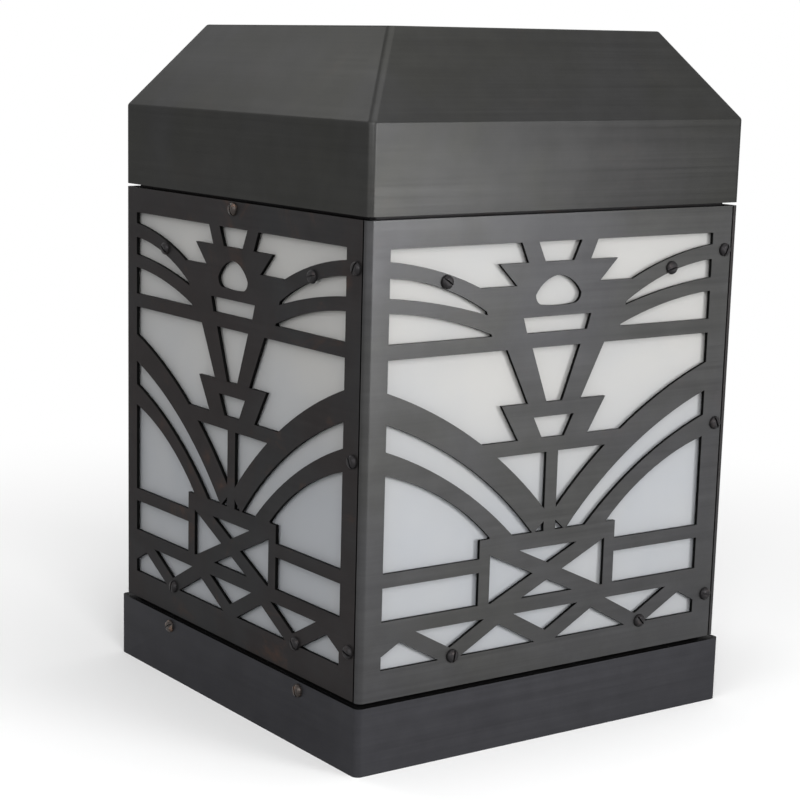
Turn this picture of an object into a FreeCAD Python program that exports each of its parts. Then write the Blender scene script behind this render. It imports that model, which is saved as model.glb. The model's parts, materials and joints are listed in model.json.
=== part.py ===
import FreeCAD
import Part
import math
import os

from FreeCAD import Rotation, Vector

# A square lantern that caps a timber deck post: a skirted base, four fretwork panels with
# opal sheets behind them, and a hipped lid that lifts off to reach the bulb.
# Millimetres, +Z up. The origin is at the middle of the base, on its bottom edge.
# The front faces -Y and the left side -X. Seen from outside, each panel is bent round the
# corner at its left edge, and its right edge comes up to the bend of the next panel.

# Post and base
post_size = 190.5
post_clearance = 1.75       # on each side, between the post and the skirt
post_depth = 17.0           # how far the skirt reaches down over the post
sheet = 1.5                 # every folded sheet
base_corner = 3.0           # outside radius of the skirt's corners
post_plate_thick = 2.0
post_plate_fit = 0.05       # between the plate's edge and the skirt
post_hole_spacing = 140.0
post_hole_r = 2.5
wire_hole_r = 12.0
pan_flange = 8.4
pan_fit = 0.3               # between the pan's flange and the skirt
pan_headroom = 1.0          # between the post plate and the pan's flange
base_screw_spacing = 107.0
base_screw_shift = 2.4      # to the front on the left side, to the back on the right
base_screw_drop = 3.9       # screw centre below the skirt's top edge

# Body
body_step = 1.75            # how far the base stands out past the body
shadow_gap = 1.4            # open joints under the lid and over the base
bottom_rail = 12.4
top_rail = 11.1
stile = 10.45
opening_height = 167.6
panel_bend = 2.8            # outside radius of the panel's bent edge
bend_lip = 3.1              # from the corner to the end of the bent edge
lap_set = 3.9               # from the corner to the next panel's edge
ring_set = 4.3              # face of the body down to the rings' and the collar's edge
ring_width = 14.0
ring_corner = 2.0
ring_thick = 1.5

# Corner angles
angle_bend = 2.0
angle_past_screw = 3.4      # lapped stile's leg, past the middle of its corner screws
tab_size = 14.0             # foot and head tabs, from the corner
tab_screw_set = 11.8        # tab screw, from the corner on both sides
corner_screw_set = 7.4      # corner screws, from the corner
corner_screw_foot = 19.9    # lowest and highest corner screw, from the panel's ends
corner_screw_head = 18.6
corner_screw_share = 0.508  # middle one, as a share of the panel's height
corner_screw_past = 0.4     # its end past the angle it is tapped into
angle_gap = 0.3             # between an angle's inner face and the top ring

# Opal sheets
lens_thick = 3.0
lens_set = 2.6              # face of the body to the front of the sheet
lens_corner_gap = 2.3       # between one sheet's edge and the back of the next sheet
lens_clear = 0.3            # all round, to the angles' legs and tabs
arm_screw = (59.1, 153.8)   # lens screws: out from the body's middle, and up the fretwork field
foot_screw = (50.8, 0.8)

# Lid
lid_skirt = 35.3
lid_rise = 35.8
lid_inset = 26.0
lid_corner = 2.8
lid_eave_r = 1.6
collar_height = 22.5
collar_corner = 2.5
collar_below_screw = 4.2    # collar's lower edge below the lid screw's centre
lid_screw_drop = 3.2        # screw centre below the panel's top edge

# Screws, all with slotted round heads
screw_r = 1.5
head_r = 2.85
head_high = 1.9
slot_width = 0.8
slot_deep = 1.0
head_flat = 0.45            # small flat on the head, as a share of its radius
dome_out = 0.86             # a point on the head's round, as shares of its radius and height
dome_up = 0.7
hole_clear = 0.1            # round a shank
nut_flats = 5.5
nut_thick = 2.4
washer_r = 3.5
washer_thick = 0.5
spacer_r = 2.5
thread_past = 1.0           # a screw's end past its nut
lens_turns = (35, 65)       # the first screw's slot and the step to the next one, in degrees
corner_turns = (15, 50)
base_turns = (150, -80)
lid_turn = 70
inside_turn = 40            # step between the slots of the screws inside

# Cuts
past = 1.0                  # how far a cut runs past the face it opens
least_r = 0.3               # smallest inside corner
touching = 0.01             # closer than this counts as the same height
along_axis = 0.9            # an edge whose direction has more than this of an axis runs along it

# Lampholder and bulb
bracket_span = 60.0
bracket_width = 26.0
bracket_high = 20.0
bracket_foot = 13.0
holder_r = 19.0
holder_high = 33.0
holder_floor = 8.0
shell_bore_r = 13.35
shell_thick = 0.5
shell_fit = 0.1
shell_drop = 1.0            # rim of the screw shell below the lampholder's
shell_open = 3.0            # open floor round the centre contact
holder_taper = (2.0, 8.0)   # in and down, round the lampholder's mouth
holder_screw_x = 9.0
holder_screw_long = 7.0
holder_screw_room = 0.5     # blind hole past the screw's end
stem_r = 1.95               # centre contact's stem
stem_long = 3.0
stem_fit = 0.05
contact_edge = 0.6
cap_r = 13.05
cap_long = 22.0
contact_r = 4.0
contact_rise = 2.0
tip_r = 2.6                 # flat of the bulb's own contact
tip_edge = 1.0
tip_high = 1.6
insulator_r = (5.2, 9.6)    # bottom and top
cap_wall = 0.4
cap_floor_r = 10.2
cap_cone = 3.0              # rise of the cap's cone
bulb_r = 30.0
bulb_long = 108.0
bulb_mouth_r = 24.0         # where the globe meets the housing
globe_wall = 1.0
crown_flat_r = 1.0
swell_out = 0.72            # a point of the globe's swell, as shares of the way out and up
swell_up = 0.45
neck_r = 14.5
cap_low = 2.0               # tip of the bulb to the insulator's foot
insulator_high = 1.4
housing_high = 24.0
housing_wall = 2.0
neck_flare = 0.5
neck_high = 3.0
board_thick = 1.6
board_clear = 0.2

# Wiring
block_long = 28.0
block_deep = 17.0
block_high = 13.0
block_away = 50.0           # middle of the base to the block's near face
way_pitch = 8.0
way_rise = 8.0              # wire entry above the floor pan
lead_r = 1.1
lead_clear = 0.15
lead_seat = 4.0             # how far a lead goes into its hole
bend_share = 0.45           # of a lead's straight run, taken by the bend at its end
ear_long = 8.0              # the block's end ears
ear_half = 4.0
ear_high = 3.0
supply_way_r = 1.6          # the block's holes on the supply side
supply_way_deep = 5.0
clamp_r = 1.8
clamp_set = 6.0             # a clamp screw's distance in from the block's face
clamp_long = 3.0
clamp_over = 0.4            # between a wire and the clamp screw's foot
clamp_slot = (0.6, 0.8)     # width and depth
holder_run = 17.0           # straight out of the lampholder's back
block_run = 16.0            # straight into the block
earth_away = (40.0, 26.0)   # the earth screw, from the middle of the pan
terminal_thick = 0.8
terminal_r = 4.2
tongue = (3.5, 7.0, 1.8)    # from the earth screw, near and far, and half its width
barrel_set = 6.0            # start of the barrel, from the earth screw
barrel_long = 7.0
earth_route = ((0, -11.0, 0), (4.0, -23.0, -4.8))   # from the block's way
earth_run = 12.0            # straight into the barrel
grommet_bore_r = 9.5
grommet_lip = 2.0
grommet_out = 2.5           # lip past the hole
grommet_fit = 0.05

# The fretwork is drawn on a field of this size, from the middle of its bottom edge
field_width = 168.7
field_height = 167.6
into_stile = 1.0            # how far the arms run past the field's edge
stem_half = 3.1
upper_bar = (124.7, 130.7)  # bottom and top of each level strip
middle_band = (81.0, 87.0)
block_plate = (40.7, 47.5)
bar_a = (33.9, 39.6)
bar_b = (13.9, 20.0)
post_x = (30.7, 36.3)       # inner and outer edge of the two uprights
post_rise = 46.7
cross_middle = 30.0
cross_slope = 0.46
cross_width = 6.6
cross_past = 2.0
lattice_pitch = 25.05
lattice_low = 0.7
lattice_high = 14.4
lattice_width = 6.5
lattice_corner = 2.0        # filled corner between the outer strips, the stile and the bar above
lattice_foot = 1.0          # half of the fill under each low joint of two strips

# Derived sizes
plate_top = post_depth + post_plate_thick
base_height = plate_top + pan_headroom + pan_flange
base_half = post_size / 2 + post_clearance + sheet
skirt_inner = base_half - sheet
body_half = base_half - body_step
panel_bottom = base_height + shadow_gap
panel_height = bottom_rail + opening_height + top_rail
panel_top = panel_bottom + panel_height
opening_bottom = panel_bottom + bottom_rail
panel_right = body_half - lap_set
stile_x = field_width / 2 + into_stile
fret_middle = (panel_right - body_half) / 2
opening_width = panel_right + body_half - 2 * stile
lid_bottom = panel_top + shadow_gap
eave = lid_bottom + lid_skirt
roof_top = eave + lid_rise
ring_half = body_half - ring_set
lens_bend_edge = lens_set + lens_thick + lens_corner_gap    # from the corner
angle_bend_leg = lens_bend_edge - lens_clear                # from the corner, behind the bent stile
angle_lap_leg = corner_screw_set + angle_past_screw         # from the corner, behind the lapped stile
foot_top = panel_bottom + sheet
collar_bottom = panel_top - lid_screw_drop - collar_below_screw
head_top = collar_bottom - ring_thick
lens_low = foot_top + lens_clear
lens_high = head_top - sheet - lens_clear
bracket_top = base_height + bracket_high
holder_floor_z = bracket_top + holder_floor
contact_z = holder_floor_z + shell_thick + contact_rise


def box(x0, x1, y0, y1, z0, z1):
    return Part.makeBox(x1 - x0, y1 - y0, z1 - z0, Vector(x0, y0, z0))


def rod(r, start, end):
    """A cylinder between two points."""
    along = end.sub(start)
    return Part.makeCylinder(r, along.Length, start, along)


def tube(outer, inner, start, end):
    return rod(outer, start, end).cut(rod(inner, start, end))


def round_square(half, r, z0, z1):
    """A square block with rounded upright edges."""
    block = box(-half, half, -half, half, z0, z1)
    upright = [e for e in block.Edges if abs(e.tangentAt(e.FirstParameter).z) > along_axis]
    return block.makeFillet(r, upright)


def frame_ring(half, r, wall, z0, z1):
    """A square tube: four walls round an open middle."""
    inner_r = max(r - wall, least_r)
    return round_square(half, r, z0, z1).cut(round_square(half - wall, inner_r, z0 - past, z1 + past))


def spin(shape, quarter):
    """The same shape on another side: 0 front, 1 left, 2 back, 3 right."""
    turned = shape.copy()
    turned.rotate(Vector(0, 0, 0), Vector(0, 0, 1), -90 * quarter)
    return turned


def ring_of(shapes, quarters=range(4)):
    return [spin(shape, quarter) for quarter in quarters for shape in shapes]


def revolve(points):
    """A solid turned about Z from an outline of (r, z) points."""
    outline = Part.makePolygon([Vector(r, 0, z) for r, z in points + points[:1]])
    return Part.Face(outline).revolve(Vector(0, 0, 0), Vector(0, 0, 1), 360)


def place(shape, at, inward, turn=0):
    """Puts a shape made along +Z at a point, so that its +Z runs inward."""
    moved = shape.copy()
    aim = Rotation(Vector(0, 0, 1), inward)
    moved.Placement = FreeCAD.Placement(at, aim.multiply(Rotation(Vector(0, 0, 1), turn)))
    return moved


def screw(length, at, inward, turn=0):
    """A slotted round-head screw whose head sits on the point."""
    shoulder = Vector(dome_out * head_r, 0, -dome_up * head_high)
    dome = [Vector(head_r, 0, 0), shoulder, Vector(head_flat * head_r, 0, -head_high)]
    edges = [
        Part.makeLine(Vector(0, 0, 0), dome[0]),
        Part.Arc(*dome).toShape(),
        Part.makeLine(dome[2], Vector(0, 0, -head_high)),
        Part.makeLine(Vector(0, 0, -head_high), Vector(0, 0, 0)),
    ]
    head = Part.Face(Part.Wire(edges)).revolve(Vector(0, 0, 0), Vector(0, 0, 1), 360)
    slot = box(-head_r, head_r, -slot_width / 2, slot_width / 2, -head_high - past, slot_deep - head_high)
    body = head.cut(slot).fuse(Part.makeCylinder(screw_r, length))
    return place(body.removeSplitter(), at, inward, turn)


def nut(at, inward):
    corner = nut_flats / math.sqrt(3)
    points = [Vector(corner, 0, 0)]
    for step in range(1, 7):
        angle = math.radians(60 * step)
        points.append(Vector(corner * math.cos(angle), corner * math.sin(angle), 0))
    block = Part.Face(Part.makePolygon(points)).extrude(Vector(0, 0, nut_thick))
    hole = Part.makeCylinder(screw_r + hole_clear / 2, nut_thick)
    return place(block.cut(hole), at, inward)


def write(name, shapes):
    """One file per node; a list of like pieces is a group of separate solids."""
    shape = Part.makeCompound(shapes) if isinstance(shapes, list) else shapes
    shape.exportStep("parts/" + name + ".step")


# Fretwork, drawn in X and Z on the field and stretched to the opening

def at(x, z):
    stretch_x = opening_width / field_width
    stretch_z = opening_height / field_height
    return Vector(fret_middle + x * stretch_x, 0, opening_bottom + z * stretch_z)


def flat(*points):
    """A straight-sided face through points of the field."""
    corners = [at(x, z) for x, z in points]
    return Part.Face(Part.makePolygon(corners + corners[:1]))


def level_bar(x0, x1, z0, z1):
    return flat((x0, z0), (x1, z0), (x1, z1), (x0, z1))


def strip(start, end, width):
    """A straight strip of even width along a centre line."""
    run, rise = end[0] - start[0], end[1] - start[1]
    length = math.hypot(run, rise)
    side_x, side_z = -rise / length * width / 2, run / length * width / 2
    return flat(
        (start[0] + side_x, start[1] + side_z),
        (end[0] + side_x, end[1] + side_z),
        (end[0] - side_x, end[1] - side_z),
        (start[0] - side_x, start[1] - side_z),
    )


def sweep(side, upper, lower):
    """A curved arm between two arcs, each through three points."""
    top = [at(side * x, z) for x, z in upper]
    low = [at(side * x, z) for x, z in lower]
    edges = [
        Part.Arc(*top).toShape(),
        Part.makeLine(top[2], low[2]),
        Part.Arc(*low).toShape(),
        Part.makeLine(low[0], top[0]),
    ]
    return Part.Face(Part.Wire(Part.__sortEdges__(edges)))


def capital():
    """The tapered middle figure above the upper bar, with its two holes."""
    arms = [
        flat((s * 20.4, field_height + 1), (s * 16.1, 159.0), (s * 7.3, 159.0), (s * 11.8, field_height + 1))
        for s in (-1, 1)
    ]
    cap = flat((-31.0, 159.4), (31.0, 159.4), (21.7, 150.3), (-21.7, 150.3))
    vase = flat((-39.5, 150.3), (39.5, 150.3), (32.1, upper_bar[0]), (-32.1, upper_bar[0]))
    drop_low = [at(-8.0, 141.9), at(0, 141.4), at(8.0, 141.9)]
    widest = [at(-11.9, 146.2), at(11.9, 146.2)]
    tip = at(0, 153.9)
    drop = Part.Face(Part.Wire([
        Part.Arc(*drop_low).toShape(),
        Part.Arc(drop_low[2], at(11.0, 143.4), widest[1]).toShape(),
        Part.Arc(widest[1], at(7.4, 151.2), tip).toShape(),
        Part.Arc(tip, at(-7.4, 151.2), widest[0]).toShape(),
        Part.Arc(widest[0], at(-11.0, 143.4), drop_low[0]).toShape(),
    ]))
    slot = flat((-17.8, 137.2), (17.8, 137.2), (15.8, upper_bar[1]), (-15.8, upper_bar[1]))
    return arms + [cap, vase], [drop, slot]


def pedestal():
    """The V and the cap below the upper bar, and the stem under them."""
    arms = [
        flat((s * 25.7, 125.0), (s * 13.7, 101.5), (s * 4.0, 101.5), (s * 12.8, 125.0))
        for s in (-1, 1)
    ]
    cap = flat((-27.5, 101.9), (27.5, 101.9), (18.4, middle_band[1]), (-18.4, middle_band[1]))
    window = flat((-10.6, 95.9), (10.6, 95.9), (5.9, middle_band[1]), (-5.9, middle_band[1]))
    band = level_bar(-36.4, 36.4, *middle_band)
    stem = level_bar(-stem_half, stem_half, block_plate[0], middle_band[1])
    return arms + [cap, band, stem], [window]


def fountain(side):
    """The four curved arms of one side, from the middle out to the stile."""
    end = stile_x
    arms = [
        ([(37.0, 148.9), (61.9, 158.4), (end, 162.8)], [(33.5, 138.8), (59.8, 151.7), (end, 156.5)]),
        ([(34.0, 138.8), (60.0, 145.2), (end, 148.6)], [(30.5, 130.2), (58.2, 139.0), (end, 142.9)]),
        ([(0.5, 54.0), (43.7, 91.7), (end, 112.3)], [(8.5, 46.8), (46.4, 80.5), (end, 99.9)]),
        ([(18.6, 46.7), (51.5, 72.9), (end, 89.1)], [(29.8, 46.5), (57.1, 68.1), (end, 79.6)]),
    ]
    return [sweep(side, upper, lower) for upper, lower in arms]


def plinth():
    """The block under the fountain with its crossed strips, and the level bars beside it."""
    half_run = post_x[0] + cross_past
    pieces = [level_bar(-post_x[1], post_x[1], *block_plate), level_bar(-stile_x, stile_x, *bar_b)]
    for s in (-1, 1):
        pieces.append(level_bar(s * post_x[0], s * post_x[1], bar_b[0], post_rise))
        pieces.append(level_bar(s * post_x[0], s * stile_x, *bar_a))
        rise = s * cross_slope * half_run
        pieces.append(strip((-half_run, cross_middle - rise), (half_run, cross_middle + rise), cross_width))
    return pieces


def lattice():
    """The row of slanted strips along the bottom rail."""
    pieces = []
    for step in range(-4, 4):
        heights = (lattice_low, lattice_high) if step % 2 == 0 else (lattice_high, lattice_low)
        start = (step * lattice_pitch, heights[0])
        end = ((step + 1) * lattice_pitch, heights[1])
        pieces.append(strip(start, end, lattice_width))
        if step % 2 == 0:
            pieces.append(level_bar(start[0] - lattice_foot, start[0] + lattice_foot, -past, lattice_low))
    inner, low = field_width / 2 - lattice_corner, bar_b[0] - lattice_corner
    pieces += [level_bar(s * inner, s * stile_x, low, bar_b[1]) for s in (-1, 1)]
    field = level_bar(-stile_x, stile_x, -past, bar_b[1])
    return [piece.common(field) for piece in pieces]


def fretwork():
    """The flat face of the front panel as one outline with its holes, at Y = 0."""
    left = panel_bend - body_half
    low, high = Vector(left, 0, panel_bottom), Vector(panel_right, 0, panel_top)
    rim = Part.Face(Part.makePolygon([low, Vector(high.x, 0, low.z), high, Vector(low.x, 0, high.z), low]))
    rim = rim.cut(level_bar(-field_width / 2, field_width / 2, 0, field_height))
    upper, upper_holes = capital()
    lower, lower_holes = pedestal()
    pieces = upper + lower + plinth() + lattice() + fountain(-1) + fountain(1)
    pieces.append(level_bar(-stile_x, stile_x, *upper_bar))
    face = rim.fuse(pieces)
    return face.cut(upper_holes + lower_holes)


def lens_screw_points():
    """On the front face: two on the uppermost arms and two where the lattice meets the rail."""
    stretch = opening_width / field_width
    return [
        Vector(side * x * stretch, -body_half, at(0, z).z)
        for side in (-1, 1) for x, z in (arm_screw, foot_screw)
    ]


def corner_screw_heights():
    """Three screws down a lapped stile."""
    middle = panel_bottom + corner_screw_share * panel_height
    return [panel_bottom + corner_screw_foot, middle, panel_top - corner_screw_head]


def front_panel():
    """The sheet of the front: fretwork, the bend at its left edge, and its screw holes."""
    face = fretwork().extrude(Vector(0, sheet, 0))
    face.translate(Vector(0, -body_half, 0))
    corner = Vector(panel_bend - body_half, panel_bend - body_half, panel_bottom)
    bend = Part.makeCylinder(panel_bend, panel_height, corner)
    bend = bend.cut(Part.makeCylinder(panel_bend - sheet, panel_height, corner))
    bend = bend.common(box(-body_half, corner.x, -body_half, corner.y, panel_bottom, panel_top))
    lip = box(-body_half, sheet - body_half, corner.y, bend_lip - body_half, panel_bottom, panel_top)
    panel = face.fuse([bend, lip]).removeSplitter()
    points = lens_screw_points()
    points += [Vector(body_half - corner_screw_set, -body_half, z) for z in corner_screw_heights()]
    return panel.cut([sheet_hole(point) for point in points])


def sheet_hole(point):
    """A screw's hole through one sheet, from a point on its outer face, along +Y."""
    return rod(screw_r + hole_clear, point - Vector(0, past, 0), point + Vector(0, sheet + past, 0))


def side_panel(quarter):
    """A panel turned to its side. The left and right ones take a lid screw in the top rail."""
    panel = front_panel()
    if quarter % 2:
        panel = panel.cut(sheet_hole(lid_screw_point()))
    return spin(panel, quarter)


def lid_screw_point():
    return Vector(fret_middle, -body_half, panel_top - lid_screw_drop)


def corner_angle(quarter):
    """The angle behind one corner, made for the corner at the front panel's bent edge."""
    outer = sheet - body_half
    inner = outer + sheet
    front_leg = box(outer, angle_bend_leg - body_half, outer, inner, panel_bottom, head_top)
    side_leg = box(outer, inner, outer, angle_lap_leg - body_half, panel_bottom, head_top)
    angle = front_leg.fuse(side_leg).removeSplitter()
    fold = [
        e for e in angle.Edges
        if e.Length > panel_height / 2 and e.CenterOfMass.x + e.CenterOfMass.y < 2 * outer + sheet / 2
    ]
    angle = angle.makeFillet(angle_bend, fold)
    tab_end = tab_size - body_half
    tabs = [
        box(inner, tab_end, inner, tab_end, panel_bottom, foot_top),
        box(inner, tab_end, inner, tab_end, head_top - sheet, head_top),
    ]
    angle = angle.fuse(tabs).removeSplitter()
    holes = []
    for z in corner_screw_heights():
        start = Vector(outer - past, corner_screw_set - body_half, z)
        holes.append(rod(screw_r + hole_clear / 2, start, start + Vector(sheet + 2 * past, 0, 0)))
    spot = Vector(tab_screw_set - body_half, tab_screw_set - body_half, 0)
    for r, low, high in (
        (screw_r + hole_clear, panel_bottom, foot_top),
        (screw_r + hole_clear / 2, head_top - sheet, head_top),
    ):
        holes.append(rod(r, spot + Vector(0, 0, low - past), spot + Vector(0, 0, high + past)))
    return spin(angle.cut(holes), quarter)


def lens(quarter):
    """One opal sheet between the legs of two corner angles, drilled for its four screws."""
    left = lens_bend_edge - body_half
    right = body_half - angle_lap_leg - lens_clear
    front = lens_set - body_half
    block = box(left, right, front, front + lens_thick, lens_low, lens_high)
    through = Vector(0, lens_set + lens_thick + past, 0)
    holes = [rod(screw_r + 2 * hole_clear, point, point + through) for point in lens_screw_points()]
    return spin(block.cut(holes), quarter)


def lens_hardware():
    """Screws, spacers, washers and nuts of the opal sheets, four of each on each side."""
    inward = Vector(0, 1, 0)
    nut_at = lens_set + lens_thick + washer_thick
    reach = nut_at + nut_thick + thread_past
    screws, spacers, washers, nuts = [], [], [], []
    for number, face in enumerate(lens_screw_points()):
        behind = face + inward * (lens_set + lens_thick)
        screws.append(screw(reach, face, inward, lens_turns[0] + lens_turns[1] * number))
        spacers.append(tube(spacer_r, screw_r + hole_clear, face + inward * sheet, face + inward * lens_set))
        washers.append(tube(washer_r, screw_r + hole_clear, behind, behind + inward * washer_thick))
        nuts.append(nut(face + inward * nut_at, inward))
    return [ring_of(group) for group in (screws, spacers, washers, nuts)]


def corner_screws():
    """Slotted screws through each lapped stile into the corner angle, tapped."""
    pieces = []
    for number, z in enumerate(corner_screw_heights()):
        face = Vector(body_half - corner_screw_set, -body_half, z)
        turn = corner_turns[0] + corner_turns[1] * number
        pieces.append(screw(2 * sheet + corner_screw_past, face, Vector(0, 1, 0), turn))
    return ring_of(pieces)


def base_skirt():
    """The square skirt over the post, with the holes of the four base screws."""
    skirt = frame_ring(base_half, base_corner, sheet, 0, base_height)
    return skirt.cut(base_screw_holes(screw_r + hole_clear))


def base_screw_points():
    """Two screws on the left side and two on the right."""
    z = base_height - base_screw_drop
    return [Vector(base_screw_shift + s * base_screw_spacing / 2, -base_half, z) for s in (-1, 1)]


def base_screw_holes(r):
    reach = Vector(0, 3 * sheet + pan_fit, 0)
    holes = [rod(r, point - Vector(0, past, 0), point + reach) for point in base_screw_points()]
    return ring_of(holes, (1, 3))


def base_screws():
    reach = 2 * sheet + pan_fit + thread_past
    pieces = []
    for number, point in enumerate(base_screw_points()):
        pieces.append(screw(reach, point, Vector(0, 1, 0), base_turns[0] + base_turns[1] * number))
    return ring_of(pieces, (1, 3))


def square_points(spacing, z):
    half = spacing / 2
    return [Vector(sx * half, sy * half, z) for sx in (-1, 1) for sy in (-1, 1)]


def post_plate():
    """The plate that sits on the post's end, fixed all round inside the skirt."""
    half = skirt_inner - post_plate_fit
    plate = round_square(half, base_corner - sheet + post_plate_fit, post_depth, plate_top)
    low = post_depth - past
    up = Vector(0, 0, post_plate_thick + 2 * past)
    holes = [rod(post_hole_r, point, point + up) for point in square_points(post_hole_spacing, low)]
    holes.append(rod(wire_hole_r, Vector(0, 0, low), Vector(0, 0, plate_top + past)))
    return plate.cut(holes)


def tab_spacing():
    return 2 * (body_half - tab_screw_set)


def floor_pan():
    """The tray under the body: a flat floor level with the skirt's top, flanged down all round."""
    half = skirt_inner - pan_fit
    low = base_height - pan_flange
    floor = base_height - sheet
    corner = base_corner - sheet - pan_fit
    pan = round_square(half, corner, low, base_height)
    pan = pan.cut(box(sheet - half, half - sheet, sheet - half, half - sheet, low - past, floor))
    holes = [rod(wire_hole_r, Vector(0, 0, low), Vector(0, 0, base_height + past))]
    holes += base_screw_holes(screw_r + hole_clear / 2)
    up = Vector(0, 0, sheet + 2 * past)
    for point in square_points(tab_spacing(), floor - past):
        holes.append(rod(screw_r + hole_clear, point, point + up))
    for point in bracket_screw_points() + block_screw_points() + [earth_point()]:
        start = Vector(point.x, point.y, floor - past)
        holes.append(rod(screw_r + hole_clear / 2, start, start + up))
    return pan.cut(holes)


def flat_ring(half, z0, thick, r):
    """A flat square ring, open in the middle and drilled at the corner tabs."""
    ring = frame_ring(half, ring_corner, ring_width, z0, z0 + thick)
    up = Vector(0, 0, thick + 2 * past)
    drills = [rod(r, p, p + up) for p in square_points(tab_spacing(), z0 - past)]
    return ring.cut(drills)


def bottom_ring():
    return flat_ring(ring_half, base_height, shadow_gap, screw_r + hole_clear)


def top_ring():
    return flat_ring(body_half - 2 * sheet - angle_gap, head_top, ring_thick, screw_r + hole_clear)


def tab_screws():
    """Foot screws down through tab, ring and pan, with nuts below, and top ring screws."""
    down = Vector(0, 0, -1)
    reach = foot_top - base_height + sheet + nut_thick + thread_past
    foot = inside_screws(reach, square_points(tab_spacing(), foot_top), down)
    nuts = [nut(p, down) for p in square_points(tab_spacing(), base_height - sheet)]
    reach = ring_thick + sheet + thread_past
    top = inside_screws(reach, square_points(tab_spacing(), head_top + ring_thick), down)
    return foot, nuts, top


def inside_screws(length, points, inward):
    return [screw(length, point, inward, inside_turn * n) for n, point in enumerate(points)]


def lid_shell():
    """The hipped lid in one welded sheet: plain skirt, four slopes and a flat top."""
    return lid_block(0).cut(lid_block(sheet))


def lid_block(inward):
    """The lid's outside as a block, or its hollow when set inward by the sheet."""
    half = body_half - inward
    corner = max(lid_corner - inward, least_r)
    slope = math.atan2(lid_rise, lid_inset)
    # A slope moved in by the sheet starts lower at the wall: tan of half its angle
    eave_z = eave - inward * math.tan(slope / 2)
    top_z = roof_top - inward
    top_half = half - (top_z - eave_z) / math.tan(slope)
    below = past if inward else 0
    block = round_square(half, corner, lid_bottom - below, eave_z)
    rings = [square_wire(half, corner, eave_z), square_wire(top_half, corner, top_z)]
    roof = Part.makeLoft(rings, True, True)
    block = block.fuse(roof).removeSplitter()
    folds = [e for e in block.Edges if level_edge(e, eave_z) or level_edge(e, top_z)]
    return block.makeFillet(max(lid_eave_r - inward, least_r), folds)


def level_edge(edge, z):
    return abs(edge.BoundBox.ZMin - z) < touching and abs(edge.BoundBox.ZMax - z) < touching


def square_wire(half, r, z):
    """The outline of a rounded square at one height."""
    faces = round_square(half, r, z, z + past).Faces
    return [f for f in faces if abs(f.CenterOfMass.z - z) < touching][0].OuterWire


def lid_collar():
    """The band that hangs from the lid down inside the body. Its top turns out to the skirt,
    and an open notch at each lid screw lets it lift when the screws are slackened."""
    top = collar_bottom + collar_height
    band = frame_ring(ring_half, collar_corner, sheet, collar_bottom, top)
    out_half = body_half - sheet
    rim = frame_ring(out_half, lid_corner - sheet, out_half - ring_half + sheet, top - sheet, top)
    collar = band.fuse(rim).removeSplitter()
    middle = lid_screw_point()
    half = screw_r + 2 * hole_clear
    reach = Vector(0, ring_set + sheet + past, 0)
    notch = box(middle.x - half, middle.x + half, middle.y, middle.y + reach.y, collar_bottom - past, middle.z)
    return collar.cut(ring_of([notch.fuse(rod(half, middle, middle + reach))], (1, 3)))


def lid_hardware():
    """Screw, spacer and nut at each lid screw; the collar's edge sits between the last two."""
    inward = Vector(0, 1, 0)
    face = lid_screw_point()
    slack = hole_clear
    nut_at = ring_set + sheet + slack
    screws = [screw(nut_at + nut_thick + thread_past, face, inward, lid_turn)]
    spacers = [tube(spacer_r, screw_r + hole_clear, face + inward * sheet, face + inward * (ring_set - slack))]
    nuts = [nut(face + inward * nut_at, inward)]
    return [ring_of(group, (1, 3)) for group in (screws, spacers, nuts)]


# Lamp and wiring

def bracket_screw_points():
    x = bracket_span / 2 + bracket_foot / 2
    return [Vector(s * x, 0, base_height + sheet) for s in (-1, 1)]


def lamp_bracket():
    """A hat-shaped strip that carries the lampholder over the wire hole."""
    half = bracket_span / 2
    wide = bracket_width / 2
    outer = box(-half, half, -wide, wide, base_height, bracket_top)
    outer = outer.makeFillet(2 * sheet, top_folds(outer))
    inner_half, inner_wide = half - sheet, wide + past
    inner = box(-inner_half, inner_half, -inner_wide, inner_wide, base_height - past, bracket_top - sheet)
    hat = outer.cut(inner.makeFillet(sheet, top_folds(inner)))
    reach = half + bracket_foot
    feet = [
        box(half - sheet, reach, -wide, wide, base_height, base_height + sheet),
        box(-reach, sheet - half, -wide, wide, base_height, base_height + sheet),
    ]
    foot, up = Vector(0, 0, sheet), Vector(0, 0, past)
    holes = [rod(screw_r + hole_clear, p - foot - up, p + up) for p in bracket_screw_points()]
    holes += [rod(screw_r + hole_clear, p - up, p + foot + up) for p in holder_screw_points()]
    return hat.fuse(feet).removeSplitter().cut(holes)


def top_folds(block):
    """The two upper edges of the hat that run across it."""
    upper = [e for e in block.Edges if e.CenterOfMass.z > block.CenterOfMass.z]
    return [e for e in upper if abs(e.tangentAt(e.FirstParameter).y) > along_axis]


def bracket_screws():
    return inside_screws(2 * sheet + thread_past, bracket_screw_points(), Vector(0, 0, -1))


def holder_screw_points():
    """On the underside of the bracket's top."""
    return [Vector(s * holder_screw_x, 0, bracket_top - sheet) for s in (-1, 1)]


def holder_screws():
    return inside_screws(holder_screw_long, holder_screw_points(), Vector(0, 0, 1))


def way_x(way):
    """Middle of one of the block's three ways: -1 live, 0 neutral, 1 earth."""
    return way * way_pitch


def holder_entry(way):
    """Where a lead goes into the lampholder's back."""
    x = way_x(way)
    return Vector(x, math.sqrt(holder_r ** 2 - x ** 2) - lead_seat, bracket_top + holder_floor / 2)


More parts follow.
